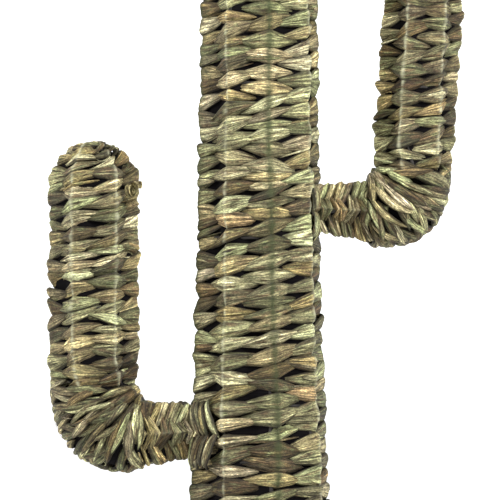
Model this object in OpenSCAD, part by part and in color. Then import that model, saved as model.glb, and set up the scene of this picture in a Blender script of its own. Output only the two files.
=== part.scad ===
// Woven cactus ornament: a trunk and two upturned arms, plaited over a wire frame.
// Millimetres. +Z is up, the front faces -Y, the origin is the middle of the foot on the floor.

/* [Trunk] */
// Outer radius of the weave at the floor
trunk_foot_r = 70; // [55:0.5:90]
// Outer radius at the lower break of the taper
trunk_low_r = 63.5; // [50:0.1:80]
// Height of the lower break
trunk_low_z = 150; // [100:1:200]
// Outer radius at the upper break of the taper
trunk_mid_r = 56.3; // [45:0.1:70]
// Height of the upper break
trunk_mid_z = 351; // [300:1:400]
// Outer radius at the shoulder, also the dome's radius
trunk_top_r = 51; // [40:0.5:60]
// Height of the shoulder
trunk_top_z = 668; // [560:1:760]
// Thickness of the trunk's weave
trunk_weave_t = 5; // [3:0.5:8]

/* [Left arm] */
// Height of the arm's level axis
left_axis_z = 186; // [150:1:220]
// Outer radius where the arm leaves the trunk
left_root_r = 28; // [20:0.5:36]
// Outer radius at the elbow
left_elbow_r = 36; // [28:0.5:42]
// Outer radius of the upright
left_up_r = 40; // [30:0.5:48]
// Bend radius of the elbow's axis
left_bend_r = 41.5; // [38:0.5:60]
// Distance from the trunk's axis to the middle of the bend
left_bend_x = 107; // [95:1:140]
// Outward lean of the upright, degrees
left_lean = 0; // [0:0.1:8]
// Length of the upright up to its dome
left_up_len = 181.5; // [120:0.5:260]
// Turn of the upright wires against the level ones, degrees
left_turn = -28; // [-30:1:30]

/* [Right arm] */
// Height of the arm's level axis
right_axis_z = 386; // [350:1:430]
// Outer radius where the arm leaves the trunk
right_root_r = 25.5; // [20:0.5:34]
// Outer radius at the elbow
right_elbow_r = 33; // [26:0.5:40]
// Outer radius of the upright
right_up_r = 36; // [28:0.5:44]
// Bend radius of the elbow's axis
right_bend_r = 38; // [35:0.5:60]
// Distance from the trunk's axis to the middle of the bend
right_bend_x = 100; // [90:1:130]
// Outward lean of the upright, degrees
right_lean = 3.6; // [0:0.1:8]
// Length of the upright up to its dome
right_up_len = 183; // [120:0.5:260]
// Turn of the upright wires against the level ones, degrees
right_turn = 25; // [-30:1:30]

/* [Wire frame] */
// Radius of the trunk's stake wires
stake_r = 2; // [1:0.25:3]
// Radius of the arms' stake wires
arm_stake_r = 1.75; // [1:0.25:3]
// Radius of the hoop wires
hoop_r = 1.5; // [1:0.25:2.5]
// Direction of the first trunk stake, degrees from the front
trunk_phase = 11; // [0:1:44]
// Radius of the ring under the trunk's dome
crown_ring_r = 12; // [8:0.5:20]
// Radius of the rings under the arms' domes
arm_ring_r = 9; // [6:0.5:14]

/* [Foot] */
// Height of the felt pads
pad_h = 3; // [1:0.5:6]
// Radius of the felt pads
pad_r = 9; // [5:0.5:14]
// Distance of the outer pads from the middle
pad_circle_r = 45; // [30:1:50]
// Radius of the steel base plate
plate_r = 60; // [40:0.5:62]
// Thickness of the steel base plate
plate_t = 4; // [2:0.5:8]
// Top of the binding around the foot
binding_top = 16; // [12:0.5:24]

/* [Show] */
// Which part to draw

/* [Hidden] */
$fn = 64;
gap = 0.05;           // clearance between neighbouring solids
trunk_stakes = 8;
arm_stakes = 6;
split_a = 250;        // ends of the trunk's weave sections
split_b = 470;
flare = 35;           // length over which an arm widens above its elbow
arm_weave_t = 5;
bead = 0.5;           // how far a weld bead stands out of its wire
trim = 0.3;           // how far short of a bead's middle a wire stops
base_ring_z = pad_h + plate_t + 3;
base_ring_r = 2.5;
binding_r = 71;
trunk_hoop_z = [70, 162, 212, 290, 362, 414, 500, 600];

// Each arm's sizes: axis height, root, elbow and upright radii, bend radius,
// bend position, lean, upright length, wire turn.
left = [left_axis_z, left_root_r, left_elbow_r, left_up_r, left_bend_r,
        left_bend_x, left_lean, left_up_len, left_turn];
right = [right_axis_z, right_root_r, right_elbow_r, right_up_r, right_bend_r,
         right_bend_x, right_lean, right_up_len, right_turn];

leaf_a = [0.42, 0.42, 0.29];
leaf_b = [0.50, 0.46, 0.33];
steel = [0.22, 0.22, 0.23];
felt = [0.16, 0.15, 0.14];

function trunk_r(z) = lookup(z, [[0, trunk_foot_r], [trunk_low_z, trunk_low_r],
                                 [trunk_mid_z, trunk_mid_r], [trunk_top_z, trunk_top_r]]);
// Wires run just inside the weave, clear of it by the gap
stake_depth = trunk_weave_t + stake_r + bead + gap;
arm_depth = arm_weave_t + arm_stake_r + bead + gap;
function stake_at(z) = trunk_r(z) - stake_depth;
// Angle up the dome at which a wire stops against the crown ring
function ring_angle(dome, ring) = acos(ring / dome);
function stop_angle(dome, ring, w) = ring_angle(dome, ring) - (w + hoop_r + 0.6) / dome * 57.2958;
function root_radius(a, x) =
  a[1] + (a[2] - a[1]) * (x - trunk_r(a[0])) / (a[5] - trunk_r(a[0]));
// Where an arm's wire stops, just outside the trunk's stakes
function root_end(a, t) =
  let (r = a[1] - arm_depth, y = max(0, abs(r * cos(t)) - arm_stake_r))
  sqrt(pow(trunk_r(a[0] + r * sin(t)) - trunk_weave_t, 2) - y * y);
function root_point(a, t, x) =
  let (r = root_radius(a, x) - arm_depth) [x, -r * cos(t), a[0] + r * sin(t)];

// ---- shared shapes ----

// A straight wire from a to b, cut short at each end by cut[0] and cut[1]
module rod(a, b, r, cut) {
  v = b - a;
  translate(a) rotate([0, acos(v.z / norm(v)), atan2(v.y, v.x)]) translate([0, 0, cut[0]])
    cylinder(r = r, h = norm(v) - cut[0] - cut[1]);
}

// A weld bead where two wires meet; turn keeps its seam clear of them
module weld(p, r, turn = 0) translate(p) rotate([90, turn, 0]) sphere(r + bead);

module torus(ring, r) rotate_extrude() translate([ring, 0]) circle(r);

// A wire's arc from +X up towards +Z, cut short where it leaves its bead
module rise(radius, r, angle) {
  cut = trim / radius * 57.2958;
  rotate([90, 0, 0]) rotate([0, 0, cut]) rotate_extrude(angle = angle - cut)
    translate([radius, 0]) circle(r);
}

module half_shell(r, t) rotate_extrude() intersection() {
  difference() {
    circle(r);
    circle(r - t);
  }
  square([r + 1, r + 1]);
}

// ---- trunk ----

module trunk_solid(inset, z0, z1) rotate_extrude() polygon([
  [0, z0], [trunk_r(z0) - inset, z0],
  for (z = [trunk_low_z, trunk_mid_z, trunk_top_z]) if (z > z0 && z < z1)
    [trunk_r(z) - inset, z],
  [trunk_r(z1) - inset, z1], [0, z1]]);

module trunk_shell(z0, z1) difference() {
  trunk_solid(0, z0, z1);
  trunk_solid(trunk_weave_t, z0 - 1, z1 + 1);
}

module stake_line(k) rotate([0, 0, trunk_phase + 45 * (k - 1) - 90]) {
  zs = [base_ring_z + base_ring_r + gap, trunk_low_z, trunk_mid_z, trunk_top_z];
  dome = trunk_top_r - stake_depth;
  for (i = [0:2])
    rod([stake_at(zs[i]), 0, zs[i]], [stake_at(zs[i + 1]), 0, zs[i + 1]], stake_r,
        [i == 0 ? 0 : trim, trim]);
  for (i = [1:3]) weld([stake_at(zs[i]), 0, zs[i]], stake_r);
  translate([0, 0, trunk_top_z]) rise(dome, stake_r, stop_angle(dome, crown_ring_r, stake_r));
}

module hoop_line(i) translate([0, 0, trunk_hoop_z[i - 1]])
  torus(stake_at(trunk_hoop_z[i - 1]) - stake_r - hoop_r - 0.1, hoop_r);

module crown_ring_line() {
  dome = trunk_top_r - stake_depth;
  translate([0, 0, trunk_top_z + dome * sin(ring_angle(dome, crown_ring_r))])
    torus(crown_ring_r, hoop_r);
}

// The holes through the trunk's weave for an arm's wires
module root_holes(a) for (k = [1:arm_stakes]) {
  t = 60 * (k - 1);
  rod(root_point(a, t, trunk_r(a[0]) - 25), root_point(a, t, a[5]), arm_stake_r + gap, [0, trim]);
}

module trunk_weave_lower() color(leaf_a) difference() {
  trunk_shell(binding_top + gap, split_a - gap);
  mirror([1, 0, 0]) root_holes(left);
}

module trunk_weave_middle() color(leaf_a) difference() {
  trunk_shell(split_a + gap, split_b - gap);
  root_holes(right);
}

module trunk_weave_upper() color(leaf_a) trunk_shell(split_b + gap, trunk_top_z - gap);

module trunk_weave_crown() color(leaf_b)
  translate([0, 0, trunk_top_z]) half_shell(trunk_top_r, trunk_weave_t);

module trunk_stake(k) color(steel) stake_line(k);
module trunk_hoop(i) color(steel) hoop_line(i);
module trunk_crown_ring() color(steel) crown_ring_line();

// ---- arms, drawn on the +X side ----

module upright(a) translate([a[5] + a[4], 0, a[0] + a[4]]) rotate([0, a[6], 0]) children();

// A point of the leaning upright, in the arm's own frame
function leaning(a, p) = [a[5] + a[4] + p.x * cos(a[6]) + p.z * sin(a[6]), p.y,
                          a[0] + a[4] - p.x * sin(a[6]) + p.z * cos(a[6])];

module arm_stake_line(a, k) {
  t = 60 * (k - 1);
  u = t + a[8];
  re = a[2] - arm_depth;
  ru = a[3] - arm_depth;
  radius = a[4] - re * sin(t);
  cut = trim / radius * 57.2958;
  p = root_point(a, t, a[5]);
  rod(root_point(a, t, root_end(a, t)), p, arm_stake_r, [0, trim]);
  weld(p, arm_stake_r, 90);
  translate([a[5], -re * cos(t), a[0] + a[4]]) rotate([90, 0, 0]) rotate([0, 0, cut - 90])
    rotate_extrude(angle = 90 - 2 * cut) translate([radius, 0]) circle(arm_stake_r);
  foot = [a[5] + radius, -re * cos(t), a[0] + a[4]];
  knee = leaning(a, [-ru * sin(u), -ru * cos(u), flare]);
  top = leaning(a, [-ru * sin(u), -ru * cos(u), a[7]]);
  rod(foot, knee, arm_stake_r, [trim, trim]);
  rod(knee, top, arm_stake_r, [trim, trim]);
  for (q = [foot, knee, top]) weld(q, arm_stake_r);
  upright(a) translate([0, 0, a[7]]) rotate([0, 0, -90 - u])
    rise(ru, arm_stake_r, stop_angle(ru, arm_ring_r, arm_stake_r));
}

// Hoop 1 is on the level run, hoops 2 and 3 are on the upright.
module arm_hoop_line(a, i) {
  x = a[5] - 10;
  if (i == 1) translate([x, 0, a[0]]) rotate([0, 90, 0])
    torus(root_radius(a, x) - arm_depth - arm_stake_r - hoop_r - 0.5, hoop_r);
  else upright(a) translate([0, 0, a[7] * (i == 2 ? 0.4 : 0.85)])
    torus(a[3] - arm_depth - arm_stake_r - hoop_r - 0.1, hoop_r);
}

module arm_ring_line(a) {
  dome = a[3] - arm_depth;
  upright(a) translate([0, 0, a[7] + dome * sin(ring_angle(dome, arm_ring_r))])
    torus(arm_ring_r, hoop_r);
}

module arm_root(a) {
  x0 = trunk_r(a[0]) - 20;
  x1 = a[5] - gap;
  difference() {
    translate([x0, 0, a[0]]) rotate([0, 90, 0])
      cylinder(r1 = root_radius(a, x0), r2 = root_radius(a, x1), h = x1 - x0);
    translate([x0 - 1, 0, a[0]]) rotate([0, 90, 0])
      cylinder(r1 = root_radius(a, x0 - 1) - arm_weave_t,
               r2 = root_radius(a, x1 + 1) - arm_weave_t, h = x1 - x0 + 2);
    trunk_solid(-gap, a[0] - 34, a[0] + 60);
  }
}

module arm_elbow(a) translate([a[5], 0, a[0] + a[4]]) rotate([90, 0, 0]) rotate([0, 0, -90])
  rotate_extrude(angle = 90) translate([a[4], 0]) difference() {
    circle(a[2]);
    circle(a[2] - arm_weave_t);
  }

// The foot of a leaning upright is cut level to meet the elbow.
module arm_upright(a) difference() {
  low = a[6] > 0 ? -4 : gap;
  upright(a) rotate_extrude() polygon([
    [a[2], low], [a[3], flare], [a[3], a[7] - gap],
    [a[3] - arm_weave_t, a[7] - gap], [a[3] - arm_weave_t, flare], [a[2] - arm_weave_t, low]]);
  if (a[6] > 0) translate([a[5] + a[4] - 60, -60, a[0] + a[4] - 20 + gap]) cube([120, 120, 20]);
}

module arm_crown(a) upright(a) translate([0, 0, a[7]]) half_shell(a[3], arm_weave_t);

module left_side() mirror([1, 0, 0]) children();

module left_arm_weave_root() color(leaf_b) left_side() arm_root(left);
module left_arm_weave_elbow() color(leaf_a) left_side() arm_elbow(left);
module left_arm_weave_upright() color(leaf_b) left_side() arm_upright(left);
module left_arm_weave_crown() color(leaf_a) left_side() arm_crown(left);
module right_arm_weave_root() color(leaf_b) arm_root(right);
module right_arm_weave_elbow() color(leaf_a) arm_elbow(right);
module right_arm_weave_upright() color(leaf_b) arm_upright(right);
module right_arm_weave_crown() color(leaf_a) arm_crown(right);
module left_arm_stake(k) color(steel) left_side() arm_stake_line(left, k);
module right_arm_stake(k) color(steel) arm_stake_line(right, k);
module left_arm_hoop(i) color(steel) left_side() arm_hoop_line(left, i);
module right_arm_hoop(i) color(steel) arm_hoop_line(right, i);
module left_arm_crown_ring() color(steel) left_side() arm_ring_line(left);
module right_arm_crown_ring() color(steel) arm_ring_line(right);

// ---- foot ----

module base_ring() color(steel) translate([0, 0, base_ring_z])
  torus(stake_at(base_ring_z), base_ring_r);

module base_cross() color(steel) {
  reach = stake_at(base_ring_z) - base_ring_r - 0.1;
  for (turn = [0, 90]) rotate([0, 0, trunk_phase + turn])
    translate([-reach, 0, pad_h + plate_t + stake_r + gap])
      rotate([0, 90, 0]) cylinder(r = stake_r, h = 2 * reach);
}

module base_binding() color(leaf_b) rotate_extrude() {
  inner = stake_at(base_ring_z) + base_ring_r + 0.1;
  polygon([[inner, 1], [binding_r - 2, 1], [binding_r, 3], [binding_r, binding_top - 2],
           [binding_r - 2, binding_top], [inner, binding_top]]);
}

module base_plate() color(steel) translate([0, 0, pad_h]) cylinder(r = plate_r, h = plate_t);

module felt_pads() color(felt) {
  cylinder(r = pad_r, h = pad_h);
  for (k = [0:5]) rotate([0, 0, 60 * k]) translate([pad_circle_r, 0, 0])
    cylinder(r = pad_r, h = pad_h);
}

trunk_weave_lower();
trunk_weave_middle();
trunk_weave_upper();
trunk_weave_crown();
left_arm_weave_root();
left_arm_weave_elbow();
left_arm_weave_upright();
left_arm_weave_crown();
right_arm_weave_root();
right_arm_weave_elbow();
right_arm_weave_upright();
right_arm_weave_crown();
trunk_stake(1);  // trunk_stake_1
trunk_stake(2);  // trunk_stake_2
trunk_stake(3);  // trunk_stake_3
trunk_stake(4);  // trunk_stake_4
trunk_stake(5);  // trunk_stake_5
trunk_stake(6);  // trunk_stake_6
trunk_stake(7);  // trunk_stake_7
trunk_stake(8);  // trunk_stake_8
trunk_hoop(1);  // trunk_hoop_1
trunk_hoop(2);  // trunk_hoop_2
trunk_hoop(3);  // trunk_hoop_3
trunk_hoop(4);  // trunk_hoop_4
trunk_hoop(5);  // trunk_hoop_5
trunk_hoop(6);  // trunk_hoop_6
trunk_hoop(7);  // trunk_hoop_7
trunk_hoop(8);  // trunk_hoop_8
trunk_crown_ring();
left_arm_stake(1);  // left_arm_stake_1
left_arm_stake(2);  // left_arm_stake_2
left_arm_stake(3);  // left_arm_stake_3
left_arm_stake(4);  // left_arm_stake_4
left_arm_stake(5);  // left_arm_stake_5
left_arm_stake(6);  // left_arm_stake_6
right_arm_stake(1);  // right_arm_stake_1
right_arm_stake(2);  // right_arm_stake_2
right_arm_stake(3);  // right_arm_stake_3
right_arm_stake(4);  // right_arm_stake_4
right_arm_stake(5);  // right_arm_stake_5
right_arm_stake(6);  // right_arm_stake_6
left_arm_hoop(1);  // left_arm_hoop_1
left_arm_hoop(2);  // left_arm_hoop_2
left_arm_hoop(3);  // left_arm_hoop_3
right_arm_hoop(1);  // right_arm_hoop_1
right_arm_hoop(2);  // right_arm_hoop_2
right_arm_hoop(3);  // right_arm_hoop_3
left_arm_crown_ring();
right_arm_crown_ring();
base_binding();
base_ring();
base_cross();
base_plate();
felt_pads();
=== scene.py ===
"""Woven cactus ornament: a trunk and two upturned arms, plaited from dried leaves over wires."""
import math

import bpy
import numpy as np
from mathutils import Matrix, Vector


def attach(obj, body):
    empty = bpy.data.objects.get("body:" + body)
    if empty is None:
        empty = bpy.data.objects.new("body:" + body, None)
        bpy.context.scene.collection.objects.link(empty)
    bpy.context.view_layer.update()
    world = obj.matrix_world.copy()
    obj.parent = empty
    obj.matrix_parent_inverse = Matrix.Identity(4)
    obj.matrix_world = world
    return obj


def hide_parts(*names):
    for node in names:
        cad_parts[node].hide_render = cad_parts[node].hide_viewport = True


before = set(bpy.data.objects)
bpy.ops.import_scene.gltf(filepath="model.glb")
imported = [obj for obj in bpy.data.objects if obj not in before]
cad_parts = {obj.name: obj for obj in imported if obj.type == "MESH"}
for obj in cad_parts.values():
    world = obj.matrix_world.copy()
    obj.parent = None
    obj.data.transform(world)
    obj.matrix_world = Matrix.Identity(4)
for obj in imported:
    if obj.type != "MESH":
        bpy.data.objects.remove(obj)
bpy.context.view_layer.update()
MM = 0.001
rng = np.random.default_rng(7)

# ---------------------------------------------------------------- limbs
# A limb is a tube along s (millimetres). Its angle is measured from the front (-Y):
# toward +X on the trunk, toward the trunk on an upright, upward on a level run.


def smooth(t):
    t = np.clip(t, 0.0, 1.0)
    return t * t * (3 - 2 * t)


class Trunk:
    """The tapering trunk and its dome: s is height up to the shoulder, then arc length."""

    count = 8  # stakes
    hand = 1  # which way round the leaves lean
    dark_crest = True  # every second stake shows as a dark line, the others as pale ones
    shoulder = 668.0
    dome = 51.0
    end = shoulder + dome * math.pi / 2
    depth = 10.5  # how far a leaf's ends dive below its crest

    def radius(self, s):
        return np.interp(s, [0, 150, 351, 668], [70.0, 63.5, 56.3, 51.0])

    def angle(self, k, s):
        """Where stake k runs: a slow turn up the trunk, and a little sway."""
        drift = 9.5 + (576.0 - np.minimum(s, 640)) * 0.0125
        sway = 1.3 * np.sin(s * 0.011 + 2.1 * k) + 0.6 * np.sin(s * 0.037 + 1.3 * k)
        return np.radians(45.0 * k + drift + sway)

    def point(self, s, angle, depth):
        """A point on the limb's surface, or depth below it along the normal."""
        up = np.clip((s - self.shoulder) / self.dome, 0, math.pi / 2)
        radius = np.where(s > self.shoulder, self.dome * np.cos(up), self.radius(s))
        height = np.where(s > self.shoulder, self.shoulder + self.dome * np.sin(up), s)
        n = self.normal(s, angle)
        ring = np.stack([radius * np.sin(angle), -radius * np.cos(angle), height], -1)
        return ring - n * np.asarray(depth)[..., None]

    def normal(self, s, angle):
        up = np.clip((s - self.shoulder) / self.dome, 0, math.pi / 2)
        return np.stack([np.cos(up) * np.sin(angle), -np.cos(up) * np.cos(angle),
                         np.sin(up) + 0 * angle], -1)

    def stretch(self, s, angle):
        return 1.0 + 0 * s

    def shade(self, s):
        """Painted shade: the leaves are darker toward the foot and paler toward the top, as under
        light from above.
        """
        return 0.30 * (s / self.shoulder - 0.48)


class Arm:
    """A level run, an elbow, an upright and a dome. side is -1 for the left arm."""

    count = 6
    dark_crest = False
    depth = 8.5

    # root, elbow and up are the radii; bend is the elbow's own radius, and bend_x is where it
    # starts. lean and turn are degrees: the upright's lean, and the stakes' turn round the
    # bend. corner swells the outside of the elbow by so much, corner_at of the way round.
    # rise lifts the run's end at the trunk.
    def __init__(self, side, axis_z, root, elbow, up, bend, bend_x, lean, up_len, turn,
                 corner, corner_at, rise):
        self.side, self.hand = side, -side
        self.axis_z, self.bend = axis_z, bend
        self.corner, self.corner_at, self.rise = corner, corner_at, rise
        self.root, self.elbow, self.up, self.turn = root, elbow, up, turn
        self.lean, self.start = math.radians(lean), 40.0
        self.a = bend_x - self.start
        self.b = self.a + bend * (math.pi / 2 - self.lean)
        self.shoulder = self.b + up_len
        self.dome = up
        self.end = self.shoulder + up * math.pi / 2

    def radius(self, s):
        return np.interp(s, [20, self.a, self.a + 0.55 * (self.b - self.a), self.b + 34],
                         [self.root, self.elbow - 1.5, self.elbow + 1.5, self.up])

    def angle(self, k, s):
        """Where stake k runs, as on the trunk."""
        turn = self.turn * smooth((s - self.a - 10) / (self.b - self.a + 25))
        sway = 0.9 * np.sin(s * 0.017 + 1.9 * k)
        return np.radians(60.0 * k + turn + sway)

    def axis(self, s):
        """Centre, direction of travel and the way up or inward, in the arm's own plane."""
        t = np.clip((s - self.a) / self.bend, 0, math.pi / 2 - self.lean)
        run, rise = np.minimum(s, self.a), np.clip(s - self.b, 0, self.shoulder - self.b)
        x = self.start + run + self.bend * np.sin(t) + rise * np.cos(t)
        z = self.axis_z + self.bend * (1 - np.cos(t)) + rise * np.sin(t)
        return x, z + self.rise * smooth(1 - s / self.a), t

    def point(self, s, angle, depth):
        """A point on the limb's surface, or depth below it along the normal."""
        x, z, t = self.axis(s)
        up = np.clip((s - self.shoulder) / self.dome, 0, math.pi / 2)
        radius = np.where(s > self.shoulder, self.dome * np.cos(up), self.radius(s))
        far = np.clip((s - self.a) / (self.b - self.a), 0, 1)
        swell = np.exp(-((far - self.corner_at) / 0.32) ** 2) - 0.02
        radius = radius + self.corner * np.clip(swell, 0, 1) * np.clip(-np.sin(angle), 0, 1) ** 1.5
        ahead = self.dome * np.sin(up)
        x = x + ahead * np.cos(t) - radius * np.sin(angle) * np.sin(t)
        z = z + ahead * np.sin(t) + radius * np.sin(angle) * np.cos(t)
        ring = np.stack([self.side * x, -radius * np.cos(angle), z], -1)
        return ring - self.normal(s, angle) * np.asarray(depth)[..., None]

    def normal(self, s, angle):
        t = np.clip((s - self.a) / self.bend, 0, math.pi / 2 - self.lean)
        up = np.clip((s - self.shoulder) / self.dome, 0, math.pi / 2)
        flat, tip = np.cos(up), np.sin(up)
        x = tip * np.cos(t) - flat * np.sin(angle) * np.sin(t)
        z = tip * np.sin(t) + flat * np.sin(angle) * np.cos(t)
        return np.stack([self.side * x, -flat * np.cos(angle), z], -1)

    def stretch(self, s, angle):
        """How far a point moves for each millimetre of s: more than 1 outside the elbow."""
        bent = (s > self.a) & (s < self.b)
        return np.where(bent, 1 - self.radius(s) * np.sin(angle) / self.bend, 1.0)

    def shade(self, s):
        """The right arm's leaves are the darker ones."""
        return -0.12 if self.side > 0 else -0.01


TRUNK = Trunk()
LEFT = Arm(side=-1, axis_z=186.0, root=28.0, elbow=36.0, up=40.0, bend=41.5, bend_x=107.0,
           lean=0.0, up_len=181.5, turn=-28.0, corner=6.0, corner_at=0.5, rise=3.5)
RIGHT = Arm(side=1, axis_z=386.0, root=25.5, elbow=33.0, up=36.0, bend=38.0, bend_x=100.0,
            lean=3.6, up_len=183.0, turn=25.0, corner=6.5, corner_at=0.48, rise=3.0)

# ---------------------------------------------------------------- leaves

DARK_LINE, PALE_LINE, ARM_LINE = 3.8, 1.9, 2.4  # how wide the lines over the stakes are, mm
PALEST = 0.88  # no leaf's tone goes past this


class Piece:
    """Collects the grids of many leaves, to become one mesh object."""

    def __init__(self):
        self.verts, self.faces, self.fibre, self.mark, self.crest = [], [], [], [], []
        self.total = 0

    def grid(self, points, fibre, mark, crest):
        """points (n, m, 3) in mm; fibre, mark and crest (n, m) go to the material."""
        n, m = points.shape[:2]
        at = (np.arange(n)[:, None] * m + np.arange(m)[None, :]) + self.total
        quads = np.stack([at[:-1, :-1], at[1:, :-1], at[1:, 1:], at[:-1, 1:]], -1)
        self.verts.append(points.reshape(-1, 3))
        self.fibre.append(fibre.reshape(-1, 3))
        self.mark.append(mark.reshape(-1, 4))
        self.crest.append(np.asarray(crest).reshape(-1))
        self.faces.append(quads.reshape(-1, 4))
        self.total += n * m

    def build(self, name, material, body="root", slot="leaf_weave", stands_for=()):
        verts = np.concatenate(self.verts) * MM
        faces = np.concatenate(self.faces)
        mesh = bpy.data.meshes.new(name)
        mesh.vertices.add(len(verts))
        mesh.vertices.foreach_set("co", verts.astype(np.float32).ravel())
        mesh.loops.add(faces.size)
        mesh.loops.foreach_set("vertex_index", faces.astype(np.int32).ravel())
        mesh.polygons.add(len(faces))
        mesh.polygons.foreach_set("loop_start", np.arange(0, faces.size, 4, dtype=np.int32))
        mesh.update(calc_edges=True)
        mesh.polygons.foreach_set("use_smooth", np.ones(len(faces), bool))
        a = mesh.attributes.new("fibre", "FLOAT_VECTOR", "POINT")
        a.data.foreach_set("vector", np.concatenate(self.fibre).astype(np.float32).ravel())
        a = mesh.attributes.new("mark", "FLOAT_COLOR", "POINT")
        a.data.foreach_set("color", np.concatenate(self.mark).astype(np.float32).ravel())
        a = mesh.attributes.new("crest", "FLOAT", "POINT")
        a.data.foreach_set("value", np.concatenate(self.crest).astype(np.float32))
        mesh.materials.append(material)
        obj = bpy.data.objects.new(name, mesh)
        bpy.context.scene.collection.objects.link(obj)
        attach(obj, body)
        if stands_for:
            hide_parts(*stands_for)
        return obj


def pleats(v, u, count, sharp, r):
    """Lengthwise folds across a leaf: rounded ridges with narrow valleys, -1 to 0."""
    total = np.zeros_like(v)
    for _ in range(count):
        f, p, w = r.uniform(1.2, 5.5), r.uniform(0, 6.3), r.uniform(-0.9, 0.9)
        total -= np.abs(np.cos(f * v + p + w * u)) ** sharp * r.uniform(0.4, 1.0)
    return total / count


def flaps(v, u, count, r):
    """Edges where the leaf is folded over itself: low steps that run from tip to tip."""
    total = np.zeros_like(v)
    for _ in range(count):
        at = r.uniform(-0.6, 0.6) + r.uniform(-0.55, 0.55) * u + r.uniform(-0.2, 0.2) * u * u
        step = 0.5 + 0.5 * np.tanh((v - at) / 0.05)
        total += r.choice([-1.0, 1.0]) * step * np.exp(-np.abs(v - at) * 1.6) * r.uniform(0.4, 1)
    return total


def leaf(piece, limb, k, s0, width, tone, lean=0.0, chevron=0.0, lift=0.0, roll=0.0,
         bulge=2.2, puff=0.8, fold=0.6, twist=0.0, reach=(1.0, 1.0), thin=1.0,
         rows=(45, 27), tilt=(0.0, 0.0), dull=1.0, square=5.0):
    """One leaf over stake k at s0: widest on the stake, its ends behind the next stakes.

    u runs from tip to tip and v across. lean, chevron and tilt bend it in its own surface;
    lift, roll, bulge, puff and fold shape it off that surface. thin is how fast it narrows,
    square how sharply its edges roll under, dull how plainly the line over its stake shows."""
    tip, fillet = 0.05, 0.02
    r = np.random.default_rng(int(rng.integers(1 << 30)))
    nu, nv = rows
    t = np.linspace(-1, 1, nu)
    u = (t * (0.45 + 0.55 * t * t))[:, None] * np.ones((1, nv))
    v = np.linspace(-1, 1, nv)[None, :] * np.ones((nu, 1))
    taper = 1 - np.minimum(np.sqrt(u * u + 0.002) - 0.045, 1)
    u = np.where(u < 0, u * reach[0], u * reach[1])
    au = np.abs(u)
    side = np.where(u < 0, -1, 1)
    powers = thin * r.uniform(0.70, 1.10, 4)
    power = np.where(v > 0, np.where(u > 0, powers[0], powers[1]),
                     np.where(u > 0, powers[2], powers[3]))
    half = 0.5 * width * (tip + (1 - tip) * taper ** power) * (1 + r.uniform(-0.15, 0.15) * u)
    half = half * (1 + 0.025 * np.sin(9 * u + r.uniform(0, 6)) * np.sign(v))
    metric = np.maximum(limb.stretch(s0, limb.angle(k, s0)), 0.35)
    slope = lean * u + np.where(u < 0, tilt[0], tilt[1]) * au
    s = s0 + slope + chevron * (1 - au) + v * half / metric
    s = np.minimum(s, limb.end - 0.5)
    here = limb.angle(k, s)
    there = np.where(side > 0, limb.angle(k + 1, s), limb.angle(k - 1, s))
    a = limb.point(s, here, 0 * s)
    b = limb.point(s, there, limb.depth + 0 * s)
    n = limb.normal(s, here)
    way = b - a
    drop = (way * n).sum(-1, keepdims=True) * n
    # The leaf runs from a to b, and its fall behind the next stake starts with a small fillet.
    fall = (np.sqrt(au * au + fillet * fillet) - fillet) / (math.sqrt(1 + fillet * fillet) - fillet)
    p = a + (way - drop) * au[..., None] + drop * fall[..., None]
    out = n + 0.55 * (way - drop) * (au > 0.02)[..., None] / 40.0
    out = out / np.linalg.norm(out, axis=-1, keepdims=True)
    # Everything that stands off the leaf's own surface.
    slim = np.clip(half / (0.5 * width), 0.15, 1)
    ridge = r.uniform(-0.6, 0.6)
    off = lift - bulge * slim * np.abs(v) ** square + roll * v * slim
    off = off - r.uniform(0.3, 1.9) * slim * np.abs(v - ridge - 0.25 * u * r.uniform(-1, 1))
    off = off + puff * np.sin(np.pi * np.clip(au, 0, 1)) * (1 - v * v)
    free = 0.45 + 0.55 * smooth(au * 4)
    off = off + 1.5 * fold * free * pleats(v * 2.6, u * 2 + twist * u, 4, 5.0, r)
    off = off + 2.0 * fold * free * flaps(v, u, int(r.integers(1, 4)), r)
    p = p + out * off[..., None]
    # What the material reads: fibre in mm, the stake's line (negative is dark), and the mark.
    length = np.linalg.norm(b[0, 0] - a[0, 0]) + 1e-6
    ident = r.uniform(0, 500)
    fib = np.stack([u * length + ident, v * width * 0.5 + twist * u * 2 + ident,
                    0 * u + ident], -1)
    # The line over the stake is painted light: negative is painted shade (dark), positive is
    # painted highlight (pale).
    if k % 2 == 0 and limb.dark_crest:
        crest = -np.exp(-((u * length / DARK_LINE) ** 2))
    else:
        pale_line = PALE_LINE if limb.dark_crest else ARM_LINE
        crest = np.exp(-((u * length / pale_line) ** 2))
    mark = np.stack([0 * u + min(tone, PALEST), 0 * u + r.uniform(0, 1), au, np.abs(v)], -1)
    piece.grid(p, fib, mark, crest * dull)


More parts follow.
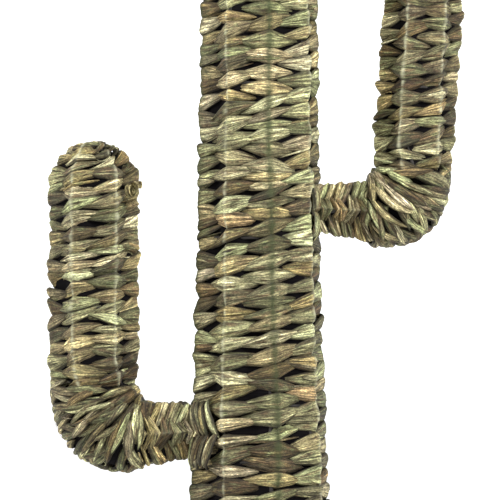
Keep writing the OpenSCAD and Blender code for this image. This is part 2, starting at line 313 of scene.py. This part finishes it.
def strand(piece, limb, path, width, tone, lift=1.0, dive=3.0, bulge=1.8, fold=0.5,
           twist=0.0, blunt=2.0, rows=(27, 13)):
    """A narrow lens of leaf laid over a limb, along a bent path of three (s, degrees)."""
    r = np.random.default_rng(int(rng.integers(1 << 30)))
    nu, nv = rows
    t = np.linspace(0, 1, nu)
    (s0, a0), (s1, a1), (s2, a2) = path
    s = (1 - t) ** 2 * s0 + 2 * t * (1 - t) * s1 + t * t * s2
    angle = np.radians((1 - t) ** 2 * a0 + 2 * t * (1 - t) * a1 + t * t * a2)
    s = np.minimum(s, limb.end - 0.5)
    centre, n = limb.point(s, angle, 0 * s), limb.normal(s, angle)
    along = np.gradient(centre, axis=0)
    length = np.linalg.norm(along, axis=-1, keepdims=True)
    aside = np.cross(n, along / np.maximum(length, 1e-6))
    u, v = np.meshgrid(2 * t - 1, np.linspace(-1, 1, nv), indexing="ij")
    slim = 1 - np.abs(u) ** blunt
    half = 0.5 * width * (0.12 + 0.88 * slim) * (1 + 0.08 * np.sin(6 * u + r.uniform(0, 6)))
    off = lift * slim - dive * np.abs(u) ** 4 - bulge * np.abs(v) ** 3.5
    off = off - 0.25 * bulge * np.abs(v - r.uniform(-0.5, 0.5) - 0.4 * u * r.uniform(-1, 1))
    off = off + fold * 1.4 * pleats(v * 2.4 + twist * u, u * 2, 3, 4.0, r)
    off = off + fold * flaps(v, u, int(r.integers(0, 3)), r)
    p = centre[:, None] + aside[:, None] * (v * half)[..., None] + n[:, None] * off[..., None]
    ident = r.uniform(0, 500)
    fib = np.stack([u * length.sum() / 2 + ident, v * width * 0.5 + twist * u + ident,
                    0 * u + ident], -1)
    mark = np.stack([0 * u + tone, 0 * u + r.uniform(0, 1), 0.9 * np.abs(u),
                     np.minimum(1.12 * np.abs(v), 1)], -1)
    piece.grid(p, fib, mark, 0 * u)


def weave(limb, pieces, pick, s_from, s_to, pitch, put):
    """Rows put down from s_from to s_to, neighbouring stakes half a pitch out of step.
    pick(s) names the piece that a leaf goes to."""
    for k in range(limb.count):
        s = s_from + (0.5 * pitch if k % 2 else 0.0)
        while s < s_to:
            put(limb, pieces[pick(s)], k, s + rng.uniform(-0.07, 0.07) * pitch)
            s += pitch / max(float(limb.stretch(s, limb.angle(k, s))), 0.45)


def tone_of():
    """A leaf's place on the colour ramp, 0 to 1, rarely an extreme."""
    t = rng.normal(0.5, 0.25) if rng.random() < 0.85 else rng.uniform(0, 1)
    return float(np.clip(t, 0.02, 0.86))


def flat_leaf(pitch):
    """A broad leaf, sometimes folded into two that overlap, sometimes with a sliver beside it."""
    def put(limb, piece, k, s):
        near = 1 - 0.45 * smooth((s - limb.shoulder) / (limb.end - limb.shoulder))
        w = pitch * rng.choice([rng.uniform(0.95, 1.1), rng.uniform(1.18, 1.46)],
                               p=[0.14, 0.86]) * near
        steep = rng.random() < 0.62
        lean = rng.normal(7.6, 1.5) if steep else rng.normal(0.6, 1.8)
        lean = limb.hand * (lean + 20.0 * (1 - near))
        tilt = tuple(rng.normal(0, 1.6, 2))
        shade = limb.shade(s)
        roll = rng.normal(0.4, 1.6)
        reach = (rng.uniform(0.80, 0.98), rng.uniform(0.80, 0.98))
        kind = rng.random()
        if kind < 0.09:
            tone = tone_of() + shade
            for sign in (-1, 1):
                leaf(piece, limb, k, s + sign * 0.24 * w, w * rng.uniform(0.55, 0.75),
                     tone + rng.normal(0, 0.13),
                     lean=lean + sign * rng.uniform(-4.5, 4.5), lift=rng.uniform(0, 1.4),
                     roll=roll + rng.normal(0, 0.7), bulge=2.0, fold=0.5, reach=reach,
                     tilt=tilt, puff=rng.uniform(0, 1.3), thin=0.9, rows=(45, 19))
        else:
            leaf(piece, limb, k, s, w, tone_of() + shade, lean=lean, roll=roll,
                 lift=rng.uniform(-0.4, 1.8),
                 bulge=rng.uniform(2.4, 3.8), puff=rng.uniform(0.0, 1.6), tilt=tilt,
                 fold=rng.uniform(0.4, 0.9), reach=reach)
        if kind > 0.93:
            short = (rng.uniform(0.25, 0.6), rng.uniform(0.5, 0.9))
            leaf(piece, limb, k, s + rng.uniform(-0.2, 0.2) * w, w * rng.uniform(0.35, 0.6),
                 tone_of(), lean=lean + rng.normal(0, 4), lift=1.5, roll=rng.normal(0, 0.6),
                 bulge=0.8, fold=0.5, reach=short if rng.random() < 0.5 else short[::-1],
                 thin=0.6, rows=(35, 15), tilt=tilt)
        if rng.random() < 0.16:
            leaf(piece, limb, k, s + rng.choice([-0.45, 0.45]) * w, rng.uniform(2.2, 4.5),
                 tone_of(), lean=lean + rng.normal(0, 3.5), lift=rng.uniform(-1.6, 0.4),
                 bulge=1.2, fold=0.3, puff=0.6, thin=0.5, reach=reach, rows=(35, 9))
    return put


def bundle(pitch, chevron):
    """Narrow twisted strands side by side, their crest pulled along the limb."""
    count, full = 2, 1.45

    def put(limb, piece, k, s):
        tone = tone_of()
        lean = rng.normal(0, 2.4)
        for i in range(count):
            w = pitch / count * full * rng.uniform(0.8, 1.2)
            leaf(piece, limb, k, s + 0.9 * (i - (count - 1) / 2) * pitch / count, w,
                 float(np.clip(tone + rng.normal(0, 0.14), 0, 1)), lean=lean + rng.normal(0, 1.6),
                 chevron=chevron * rng.uniform(0.85, 1.15), lift=rng.uniform(-0.8, 1.3),
                 bulge=w * 0.5, puff=rng.uniform(0, 1), fold=0.5, twist=rng.uniform(-3, 3),
                 thin=0.4, roll=rng.normal(0, 0.6), rows=(35, 13), dull=0.4, square=2.6)
    return put


def fan(limb, piece, s_from, s_to, hole):
    """Lens-shaped strands across an elbow, meeting at its inner corner. hole is a gap left
    among them: (s, degrees) and its reach each way."""
    pitch = 8.4
    for row, centre in enumerate(np.arange(-180, 180, 30.0)):
        s = s_from + rng.uniform(0, pitch)
        while s < s_to:
            metric = max(float(limb.stretch(s, math.radians(centre))), 0.30)
            middle = centre + rng.uniform(-14, 14)
            half = rng.uniform(30, 46)
            skew = rng.normal(2.5 if row % 2 else -2.5, 4.0)
            free = 1 - 0.8 * max(0.0, -math.sin(math.radians(middle)))
            near = math.hypot((s - hole[0]) / hole[2], (middle - hole[1]) / hole[3])
            if near > 1:
                path = ((s - skew, middle - half), (s + rng.normal(0, 1.2), middle),
                        (s + skew, middle + half))
                # Their tone is lowered a little: painted shade for the shadows among the elbow's
                # crowded strands.
                strand(piece, limb, path, rng.uniform(6.5, 11.0), tone_of() - 0.04,
                       lift=rng.uniform(-0.2, 4.2) * free, dive=rng.uniform(1.5, 3.5),
                       bulge=3.4, fold=0.6, twist=rng.uniform(-1.5, 1.5),
                       blunt=rng.uniform(1.6, 3.0))
            s += pitch / metric * rng.uniform(0.8, 1.2)


# ---------------------------------------------------------------- materials


def grey(value):
    return (value, value, value)


def new_material(name):
    m = bpy.data.materials.new(name)
    m.use_nodes = True
    return m, m.node_tree, m.node_tree.nodes["Principled BSDF"]


class Nodes:
    """Short ways to add and link shader nodes."""

    def __init__(self, tree):
        self.tree = tree

    def add(self, kind, **values):
        node = self.tree.nodes.new(kind)
        for key, value in values.items():
            setattr(node, key, value)
        return node

    def link(self, a, b):
        self.tree.links.new(a, b)

    def math(self, op, a, b=None, clamp=False):
        node = self.add("ShaderNodeMath", operation=op, use_clamp=clamp)
        for i, value in enumerate((a, b)):
            if value is None:
                continue
            if isinstance(value, (int, float)):
                node.inputs[i].default_value = value
            else:
                self.link(value, node.inputs[i])
        return node.outputs[0]

    def noise(self, vector, scale, detail=3.0, rough=0.55):
        node = self.add("ShaderNodeTexNoise")
        node.inputs["Scale"].default_value = scale
        node.inputs["Detail"].default_value = detail
        node.inputs["Roughness"].default_value = rough
        self.link(vector, node.inputs["Vector"])
        return node.outputs["Fac"]

    def scaled(self, vector, factors):
        node = self.add("ShaderNodeMapping")
        node.inputs["Scale"].default_value = factors
        self.link(vector, node.inputs["Vector"])
        return node.outputs[0]

    def ramp(self, factor, stops):
        node = self.add("ShaderNodeValToRGB")
        while len(node.color_ramp.elements) < len(stops):
            node.color_ramp.elements.new(0.5)
        for element, (at, colour) in zip(node.color_ramp.elements, stops):
            element.position = at
            element.color = tuple(colour) + (1.0,)
        self.link(factor, node.inputs["Fac"])
        return node.outputs["Color"]

    def mix(self, factor, a, b, blend="MIX"):
        node = self.add("ShaderNodeMix", data_type="RGBA", blend_type=blend)
        for value, socket in ((factor, node.inputs[0]), (a, node.inputs[6]), (b, node.inputs[7])):
            if isinstance(value, (int, float)):
                socket.default_value = value
            elif isinstance(value, tuple):
                socket.default_value = tuple(value) + (1.0,)
            else:
                self.link(value, socket)
        return node.outputs[2]


def leaf_material():
    """Dried leaf. It reads fibre (mm along and across), crest (a stake's line) and mark
    (tone, chance, along, across)."""
    m, tree, shader = new_material("dried_leaf")
    n = Nodes(tree)
    fibre = n.add("ShaderNodeAttribute", attribute_name="fibre").outputs["Vector"]
    crest = n.add("ShaderNodeAttribute", attribute_name="crest").outputs["Fac"]
    mark = n.add("ShaderNodeAttribute", attribute_name="mark")
    split = n.add("ShaderNodeSeparateColor")
    n.link(mark.outputs["Color"], split.inputs[0])
    tone, chance, along = split.outputs[0], split.outputs[1], split.outputs[2]
    across = mark.outputs["Alpha"]
    streak = n.noise(n.scaled(fibre, (0.035, 0.50, 1.0)), 1.0, 5.0, 0.68)
    fine = n.noise(n.scaled(fibre, (0.05, 1.45, 1.0)), 1.0, 3.0, 0.65)
    speck = n.noise(n.scaled(fibre, (0.45, 0.90, 1.0)), 1.0, 3.0, 0.7)
    blotch = n.noise(n.scaled(fibre, (0.11, 0.17, 1.0)), 1.0, 3.0, 0.6)
    stain = n.noise(n.scaled(fibre, (0.06, 0.30, 2.0)), 1.0, 2.0, 0.5)
    # The leaf's own colour: its tone, its hue, and brown and green stains.
    mixed = n.math("ADD", n.math("MULTIPLY", tone, 0.60), n.math("MULTIPLY", blotch, 0.55))
    base = n.ramp(mixed, [
        (0.20, (0.052, 0.044, 0.028)), (0.38, (0.110, 0.096, 0.060)),
        (0.50, (0.195, 0.180, 0.112)), (0.60, (0.295, 0.275, 0.176)),
        (0.72, (0.465, 0.432, 0.294)), (0.86, (0.680, 0.640, 0.472))])
    hue = n.ramp(chance, [
        (0.0, (0.90, 1.04, 0.86)), (0.25, (0.98, 1.03, 0.90)), (0.50, (1.02, 1.0, 0.97)),
        (0.68, (1.02, 0.90, 0.66)), (0.80, (0.86, 0.80, 0.84)), (0.90, (0.94, 0.80, 0.56)),
        (0.97, (0.72, 0.55, 0.43))])
    colour = n.mix(1.0, base, hue, "MULTIPLY")
    brown = n.ramp(stain, [(0.51, grey(0.0)), (0.67, grey(0.80))])
    colour = n.mix(brown, colour, (0.125, 0.078, 0.045))
    green = n.ramp(n.noise(n.scaled(fibre, (0.09, 0.20, 3.0)), 1.0, 2.0, 0.5),
                   [(0.54, grey(0.0)), (0.72, grey(0.60))])
    colour = n.mix(green, colour, (0.140, 0.170, 0.085))
    # Fibres, hairs, specks and thin creases.
    lines = n.ramp(streak, [(0.32, (0.12, 0.10, 0.07)), (0.43, (0.64, 0.62, 0.56)),
                            (0.54, (1.06, 1.06, 1.01)), (0.68, (2.6, 2.6, 2.4))])
    colour = n.mix(1.0, colour, lines, "MULTIPLY")
    hair = n.ramp(fine, [(0.32, (0.28, 0.26, 0.22)), (0.47, (0.90, 0.90, 0.88)),
                         (0.68, (1.95, 1.95, 1.85))])
    colour = n.mix(0.9, colour, hair, "MULTIPLY")
    spots = n.ramp(speck, [(0.30, (0.25, 0.24, 0.21)), (0.48, (0.93, 0.93, 0.92)),
                           (0.67, (2.0, 2.0, 1.92))])
    colour = n.mix(0.9, colour, spots, "MULTIPLY")
    vein = n.noise(n.scaled(fibre, (0.02, 0.34, 1.0)), 1.0, 1.0, 0.4)
    vein = n.math("ABSOLUTE", n.math("SUBTRACT", vein, 0.5))
    crease = n.ramp(vein, [(0.0, (0.12, 0.10, 0.07)), (0.045, (1.10, 1.10, 1.09))])
    colour = n.mix(0.9, colour, crease, "MULTIPLY")
    # The lines over the stakes, broken here and there: the dark ones are painted shade on the
    # ridge, the pale ones are painted highlight on it.
    patchy = n.ramp(n.noise(n.scaled(fibre, (0.0, 0.22, 1.0)), 1.0, 3.0),
                    [(0.40, grey(0.08)), (0.60, grey(1.0))])
    dark = n.math("MAXIMUM", n.math("MULTIPLY", crest, -1.0), 0.0)
    some = n.math("ADD", n.math("MULTIPLY", patchy, 0.35), 0.65)
    colour = n.mix(n.math("MULTIPLY", n.math("MULTIPLY", dark, some), 0.95), colour,
                   (0.046, 0.058, 0.018))
    pale = n.math("POWER", n.math("MAXIMUM", crest, 0.0), 1.8)
    colour = n.mix(n.math("MULTIPLY", n.math("MULTIPLY", pale, patchy), 0.62), colour,
                   (0.62, 0.62, 0.42))
    # Painted shade along the edges and at the tips, where the leaves tuck under their neighbours
    # and dive behind the stakes.
    edge = n.math("MULTIPLY", n.math("SUBTRACT", across, 0.50), 2.1, True)
    edge = n.math("POWER", edge, 1.5)
    colour = n.mix(n.math("MULTIPLY", edge, 0.92), colour, (0.016, 0.013, 0.008))
    tip = n.math("POWER", along, 2.4)
    colour = n.mix(n.math("MULTIPLY", tip, 0.88), colour, (0.016, 0.012, 0.008))
    n.link(colour, shader.inputs["Base Color"])
    n.link(n.math("ADD", n.math("MULTIPLY", streak, 0.3), 0.38), shader.inputs["Roughness"])
    shader.inputs["Specular IOR Level"].default_value = 0.30
    height = n.math("ADD", n.math("MULTIPLY", streak, 1.0), n.math("MULTIPLY", fine, 0.5))
    height = n.math("ADD", height, n.math("MULTIPLY", speck, 0.4))
    bump = n.add("ShaderNodeBump")
    bump.inputs["Strength"].default_value = 0.9
    bump.inputs["Distance"].default_value = 0.0014
    n.link(height, bump.inputs["Height"])
    n.link(bump.outputs[0], shader.inputs["Normal"])
    return m


def lining_material():
    """The inside of the weave, painted near-black: painted shade for the hollow seen through the
    gaps.
    """
    m, tree, shader = new_material("inner_leaf_painted_shade")
    n = Nodes(tree)
    fibre = n.add("ShaderNodeAttribute", attribute_name="fibre").outputs["Vector"]
    streak = n.noise(n.scaled(fibre, (0.05, 1.0, 1.0)), 1.0, 4.0)
    n.link(n.ramp(streak, [(0.3, (0.002, 0.0015, 0.0025)), (0.7, (0.007, 0.006, 0.006))]),
           shader.inputs["Base Color"])
    n.link(n.math("ADD", n.math("MULTIPLY", streak, 0.2), 0.8), shader.inputs["Roughness"])
    shader.inputs["Specular IOR Level"].default_value = 0.08
    return m


def metal_material(name, dark, light, rough, metallic):
    m, tree, shader = new_material(name)
    n = Nodes(tree)
    place = n.add("ShaderNodeTexCoord").outputs["Object"]
    spots = n.noise(place, 90.0, 5.0, 0.65)
    n.link(n.ramp(spots, [(0.35, dark), (0.62, light)]), shader.inputs["Base Color"])
    n.link(n.math("ADD", n.math("MULTIPLY", spots, 0.35), rough), shader.inputs["Roughness"])
    shader.inputs["Metallic"].default_value = metallic
    bump = n.add("ShaderNodeBump")
    bump.inputs["Strength"].default_value = 0.3
    bump.inputs["Distance"].default_value = 0.0003
    n.link(n.noise(place, 600.0, 3.0), bump.inputs["Height"])
    n.link(bump.outputs[0], shader.inputs["Normal"])
    return m


def floor_material():
    """Pale floor; toward the back it glows, for the photograph's white background."""
    m, tree, shader = new_material("pale_floor")
    n = Nodes(tree)
    place = n.add("ShaderNodeTexCoord").outputs["Object"]
    n.link(n.ramp(n.noise(place, 3.0), [(0.3, grey(0.93)), (0.7, grey(0.95))]),
           shader.inputs["Base Color"])
    shader.inputs["Roughness"].default_value = 0.9
    far = n.add("ShaderNodeSeparateXYZ")
    n.link(place, far.inputs[0])
    n.link(n.math("MULTIPLY", n.math("SUBTRACT", far.outputs[1], 1.2, True), 0.8),
           shader.inputs["Emission Strength"])
    shader.inputs["Emission Color"].default_value = (1, 1, 1, 1)
    return m


LEAF = leaf_material()
LINING = lining_material()
WIRE = metal_material("frame_wire", (0.020, 0.018, 0.016), (0.055, 0.050, 0.045), 0.55, 0.5)
PLATE = metal_material("base_plate", (0.015, 0.015, 0.015), (0.03, 0.03, 0.03), 0.5, 0.3)
FELT = metal_material("felt", (0.02, 0.019, 0.018), (0.05, 0.047, 0.045), 0.6, 0.0)

# ---------------------------------------------------------------- the weave


def bands(prefix, edges):
    """Empty pieces named prefix_1, prefix_2 ... and a picker by s."""
    pieces = {f"{prefix}_{i + 1}": Piece() for i in range(len(edges) - 1)}

    def pick(s):
        band = np.clip(np.searchsorted(edges, s) - 1, 0, len(edges) - 2)
        return f"{prefix}_{int(band) + 1}"
    return pieces, pick


TRUNK_PITCH, ARM_PITCH, ARM_LEAF = 14.0, 12.4, 13.4
trunk_edges = [0, 60, 110, 160, 205, 250, 305, 360, 415, 470, 535, 600, 668, 760]
trunk_pieces, trunk_pick = bands("trunk_leaves", trunk_edges)
weave(TRUNK, trunk_pieces, trunk_pick, 20.0, TRUNK.shoulder + 72.0, TRUNK_PITCH,
      flat_leaf(TRUNK_PITCH))

arm_pieces = {}
for name, arm, chevron, run_pitch, hole in (
        ("left", LEFT, -10.0, 12.5, (14.0, -43.0, 4.0, 16.0)),
        ("right", RIGHT, 7.5, 11.5, (19.0, -39.0, 3.6, 15.0))):
    edges = [0, arm.a, arm.b, arm.b + 60, arm.b + 120, arm.shoulder, arm.end + 1]
    pieces, pick = bands(f"{name}_arm_leaves", edges)
    weave(arm, pieces, pick, 4.0 - min(chevron, 0), arm.a + 4 - min(chevron, 0), run_pitch,
          bundle(run_pitch, chevron))
    fan(arm, pieces[f"{name}_arm_leaves_2"], arm.a, arm.b + 1, (arm.a + hole[0],) + hole[1:])
    weave(arm, pieces, pick, arm.b + 2, arm.end - 7, ARM_PITCH, flat_leaf(ARM_LEAF))
    arm_pieces[name] = pieces


def lining(limb, s_from, s_to, shallow, deep, bend=None):
    """The rows that pass behind the stakes, seen only through the gaps. They are fuller
    along bend, the (start, end) of an elbow."""
    piece = Piece()
    s, turn = np.meshgrid(np.arange(s_from, s_to, 3.25), np.arange(0, limb.count + 0.01, 0.125),
                          indexing="ij")
    k = np.floor(turn)
    part = turn - k
    angle = limb.angle(k, s) * (1 - part) + limb.angle(k + 1, s) * part
    angle[:, -1] = angle[:, 0] + 2 * math.pi
    wave = deep - shallow
    if bend:
        wave = wave * (1 - smooth((s - bend[0] + 4) / 8) * (1 - smooth((s - bend[1] + 2) / 8)))
    depth = shallow + 0.5 * wave * (1 - np.cos(2 * math.pi * part))
    p = limb.point(np.minimum(s, limb.end - 1), angle, depth)
    fib = np.stack([angle * 50, s, 0 * s], -1)
    piece.grid(p, fib, np.zeros(s.shape + (4,)), 0 * s)
    return piece


def cap(limb, piece):
    """Narrow leaves wound round the tip of a dome, to close it."""
    for i in range(18):
        s0 = limb.end - 20 + 16.5 * i / 17
        a0, span = rng.uniform(0, 360), rng.uniform(95, 150)
        strand(piece, limb, ((s0, a0), (s0 + 1.5, a0 + 0.5 * span), (s0 + 3, a0 + span)),
               rng.uniform(5.0, 7.5), tone_of(), lift=rng.uniform(-0.6, 0.9), dive=2.5)


def collar(piece, side, centre, half, turns, point):
    """Chevrons of an arm's leaves laid over the trunk where the arm enters it."""
    for back in (False, True):
        for ridge in turns:
            for up in (-1, 1):
                for _ in range(2):
                    end = ridge + point * rng.uniform(0.8, 1.2)
                    path = [(centre + up * half * rng.uniform(0.92, 1.08), end),
                            (centre + up * half * 0.5, (end + ridge) / 2 + rng.normal(0, 1.5)),
                            (centre - up * rng.uniform(1, 4), ridge + rng.normal(0, 1.5))]
                    path = [(s, 180 - side * a if back else side * a) for s, a in path]
                    strand(piece, TRUNK, path, rng.uniform(5.5, 8.5), tone_of(),
                           lift=rng.uniform(2.4, 5.0), dive=rng.uniform(1.5, 3), blunt=3.0)


def hairs(limb, piece, count, s_from, s_to):
    """Loose fibres that stand off the weave."""
    for _ in range(count):
        s0, a0 = rng.uniform(s_from, s_to), rng.uniform(-180, 180)
        bend = rng.normal(0, 5, 2)
        path = ((s0, a0), (s0 + bend[0], a0 + 8), (s0 + bend[1], a0 + rng.uniform(14, 30)))
        strand(piece, limb, path, rng.uniform(0.7, 1.3), rng.uniform(0.5, 0.95), lift=0.4,
               dive=-rng.uniform(0.3, 2.2), bulge=0.2, fold=0.0, rows=(11, 3))


def curl(piece, limb, s0, degrees, radius, turns, width, tone):
    """A leaf end rolled up like a snail, its roll pointing out of the weave."""
    angle = np.array(math.radians(degrees))
    at, n = limb.point(np.array(s0), angle, np.array(0.0)), limb.normal(np.array(s0), angle)
    up = limb.point(np.array(s0 + 1.0), angle, np.array(0.0)) - at
    up = up / np.linalg.norm(up)
    aside = np.cross(up, n)
    t, v = np.meshgrid(np.linspace(0, 1, 61), np.linspace(-1, 1, 7), indexing="ij")
    round_ = 2 * math.pi * turns * t
    r = radius * (0.22 + 0.78 * t) * (1 + 0.06 * np.sin(3 * round_))
    out = 2.6 + 0.5 * width * v + 1.2 * (1 - t)
    p = at + (r * np.cos(round_))[..., None] * aside + (r * np.sin(round_))[..., None] * up
    p = p + out[..., None] * n
    fib = np.stack([t * 60, v * width * 0.5, 0 * t + 7], -1)
    mark = np.stack([0 * t + tone, 0 * t + 0.6, 0 * t, 0.8 * np.abs(v)], -1)
    piece.grid(p, fib, mark, 0 * t)


for limb, piece in ((TRUNK, trunk_pieces["trunk_leaves_13"]),
                    (LEFT, arm_pieces["left"]["left_arm_leaves_6"]),
                    (RIGHT, arm_pieces["right"]["right_arm_leaves_6"])):
    cap(limb, piece)
    hairs(limb, piece, 6, limb.shoulder, limb.end - 10)
collar(arm_pieces["left"]["left_arm_leaves_1"], -1, LEFT.axis_z, 30, (67, 60, 53, 46, 40), 13)
collar(arm_pieces["right"]["right_arm_leaves_1"], 1, RIGHT.axis_z, 26, (70, 64), -4)
hairs(LEFT, arm_pieces["left"]["left_arm_leaves_2"], 10, LEFT.a, LEFT.b)
hairs(RIGHT, arm_pieces["right"]["right_arm_leaves_2"], 14, RIGHT.a, RIGHT.b)
for below, degrees, radius, turns, tone in ((4, 52, 7.0, 2.2, 0.62), (0, 68, 4.6, 1.5, 0.75)):
    curl(arm_pieces["left"]["left_arm_leaves_6"], LEFT, LEFT.shoulder - below, degrees, radius,
         turns, 6.0, tone)

# ---------------------------------------------------------------- the foot


def binding():
    """Leaf wound round and round the foot's ring."""
    piece = Piece()
    turns, ring_radius, ring_z, wire = 64, 67.0, 8.6, 3.9
    for i in range(turns):
        a0 = 2 * math.pi * i / turns
        t = np.linspace(-0.3, 2 * math.pi + 0.1, 34)[:, None] * np.ones((1, 9))
        v = np.linspace(-1, 1, 9)[None, :] * np.ones((34, 1))
        wide = rng.uniform(0.05, 0.068)
        slant = 0.06 * (t / math.pi - 1)
        a = a0 + slant + v * wide * (1 + 0.1 * np.sin(3 * t + i))
        r = wire + 0.5 * rng.random() - 0.8 * np.abs(v) ** 3 + 0.25 * pleats(v * 2, t, 3, 3.0, rng)
        ring = ring_radius + (r - 0.3) * np.cos(t)
        z = ring_z + (r + 3.0) * np.sin(t)
        p = np.stack([ring * np.sin(a), -ring * np.cos(a), z], -1)
        ident = rng.uniform(0, 500)
        fib = np.stack([t * 6 + ident, v * 4 + ident, 0 * t + ident], -1)
        tone = tone_of()
        piece.grid(p, fib, np.stack([0 * t + tone, 0 * t + rng.random(), 0 * t,
                                     np.abs(v)], -1), 0 * t)
    return piece


for i, (name, piece) in enumerate(trunk_pieces.items()):
    mid = 0.5 * (trunk_edges[i] + trunk_edges[i + 1])
    node = ("lower" if mid < 250 else "middle" if mid < 470 else "upper"
            if mid < TRUNK.shoulder else "crown")
    piece.build(name, LEAF, stands_for=(f"trunk_weave_{node}",))
for name, pieces in arm_pieces.items():
    for piece_name, part in zip(pieces, ("root", "elbow", "upright", "upright", "upright",
                                         "crown")):
        pieces[piece_name].build(piece_name, LEAF, stands_for=(f"{name}_arm_weave_{part}",))
# The inner rows are painted near-black: painted shade for the hollow inside the weave.
lining(TRUNK, 16.0, TRUNK.end, 6.0, 12.5).build("trunk_inner_rows", LINING)
lining(LEFT, 12.0, LEFT.end, 5.6, 11.5, (LEFT.a, LEFT.b)).build("left_arm_inner_rows", LINING)
lining(RIGHT, 12.0, RIGHT.end, 5.6, 11.5, (RIGHT.a, RIGHT.b)).build("right_arm_inner_rows", LINING)
binding().build("foot_binding", LEAF, stands_for=("base_binding",))

for name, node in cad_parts.items():
    if node.hide_render:
        continue
    look = PLATE if name == "base_plate" else FELT if name == "felt_pads" else WIRE
    for s in node.material_slots:
        s.material = look

# ---------------------------------------------------------------- studio


def studio():
    """A pale round floor that curves up into a pale wall, soft lights and the camera."""
    path = [(0.01, 0.0), (2.0, 0.0), (5.0, 0.0), (11.0, 0.0)]
    path += [(11 + math.sin(t), 1.0 - math.cos(t)) for t in np.linspace(0.1, math.pi / 2, 12)]
    path += [(12.0, 5.0)]
    n, around = len(path), 64
    verts = [(r * math.cos(a), r * math.sin(a), z) for r, z in path
             for a in np.linspace(0, 2 * math.pi, around, endpoint=False)]
    faces = [(i * around + j, i * around + (j + 1) % around,
              (i + 1) * around + (j + 1) % around, (i + 1) * around + j)
             for i in range(n - 1) for j in range(around)]
    mesh = bpy.data.meshes.new("studio_floor")
    mesh.from_pydata(verts, [], faces)
    mesh.polygons.foreach_set("use_smooth", [True] * len(faces))
    mesh.materials.append(floor_material())
    floor = bpy.data.objects.new("studio_floor", mesh)
    bpy.context.scene.collection.objects.link(floor)

    def light(name, size, watts, at, to=(0, 0, 0.35)):
        data = bpy.data.lights.new(name, "AREA")
        data.shape, data.size, data.energy = "DISK", size, watts
        o = bpy.data.objects.new(name, data)
        o.location = at
        o.rotation_euler = (Vector(to) - Vector(at)).to_track_quat("-Z", "Y").to_euler()
        bpy.context.scene.collection.objects.link(o)

    light("right", 0.30, 20.5, (1.25, -1.05, 1.15), (0, 0, 0.48))
    light("left", 0.30, 18, (-1.4, -0.4, 1.15), (0, 0, 0.45))
    light("front", 0.3, 8.2, (0.25, -0.75, 1.1), (0, 0, 0.6))
    light("top", 0.6, 8, (0.3, -0.5, 2.2))
    world = bpy.data.worlds.new("studio")
    bpy.context.scene.world = world
    world.use_nodes = True
    world.node_tree.nodes["Background"].inputs[0].default_value = (1, 1, 1, 1)
    world.node_tree.nodes["Background"].inputs[1].default_value = 0.14

    camera = bpy.data.objects.new("camera", bpy.data.cameras.new("camera"))
    far, across = 4.0, 0.450
    camera.data.sensor_width = 36.0
    camera.data.lens = 36.0 * far / across
    camera.data.clip_end = 60.0
    camera.location = (-0.0081, -far, 0.351)
    camera.rotation_euler = (math.pi / 2, 0, 0)
    bpy.context.scene.collection.objects.link(camera)
    bpy.context.scene.camera = camera
    bpy.context.scene.view_settings.view_transform = "Standard"


studio()
